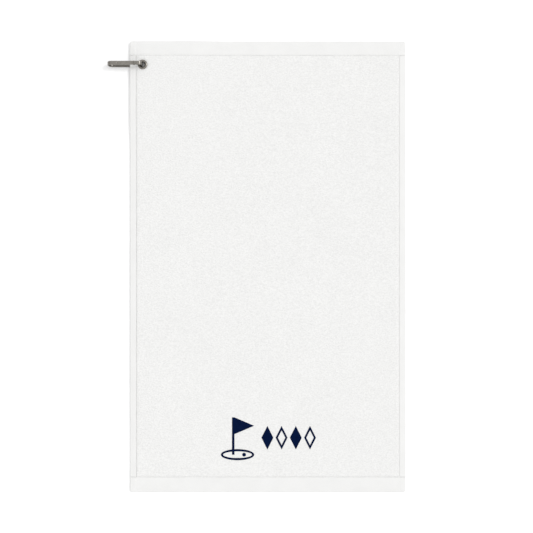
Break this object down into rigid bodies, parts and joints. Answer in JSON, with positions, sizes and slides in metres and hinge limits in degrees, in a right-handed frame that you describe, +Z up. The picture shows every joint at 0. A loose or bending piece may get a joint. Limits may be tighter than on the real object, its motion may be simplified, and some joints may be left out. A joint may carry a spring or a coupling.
{
  "type": "golf towel",
  "caption": "White velour golf towel with plain hems, a navy flag and diamond print, and a metal spring-gate hook through a corner grommet, laid flat.",
  "frame": {"origin": "centre of the towel's underside, on the surface it lies on", "axes": "+Z up, out of the printed face; +Y along the towel's length towards the end with the grommet; +X across it, away from the edge with the hook"},
  "size_m": [0.3013, 0.4572, 0.0137],
  "materials": {
    "velour": "sheared cotton velour pile, terry loops on the back",
    "hem": "flat-woven cotton, folded and stitched",
    "thread": "polyester sewing thread",
    "ink": "navy heat-transfer print",
    "nickel": "nickel-plated steel",
    "spring_steel": "satin spring steel"
  },
  "bodies": {
    "towel": {"towel_field": "velour", "head_hem": "hem", "foot_hem": "hem", "left_hem": "hem", "right_hem": "hem", "head_needle_thread": "thread", "head_bobbin_thread": "thread", "foot_needle_thread": "thread", "foot_bobbin_thread": "thread", "left_needle_thread": "thread", "left_bobbin_thread": "thread", "right_needle_thread": "thread", "right_bobbin_thread": "thread", "printed_flag": "ink", "printed_ball": "ink", "printed_diamond_1": "ink", "printed_diamond_2": "ink", "printed_diamond_3": "ink", "printed_diamond_4": "ink", "grommet_eyelet": "nickel", "grommet_washer": "nickel"},
    "hook": {"hook_frame": "nickel", "gate_rivet": "spring_steel", "gate_spring": "spring_steel", "spring_rivet": "spring_steel"},
    "gate": {"gate": "nickel"}
  },
  "joints": [
    {"name": "hook_swing", "type": "hinge", "parent": "towel", "child": "hook", "pos_m": [-0.1268, 0.2048, 0.00335], "axis": [0, 0, 1], "range_deg": [-110, 50]},
    {"name": "gate_hinge", "type": "hinge", "parent": "hook", "child": "gate", "pos_m": [-0.1344, 0.2048, 0.0124], "axis": [0, -1, 0], "range_deg": [0, 23], "stiffness_Nm_per_rad": 0.01, "springref_deg": -11.46, "deforming": ["gate_spring"]}
  ]
}
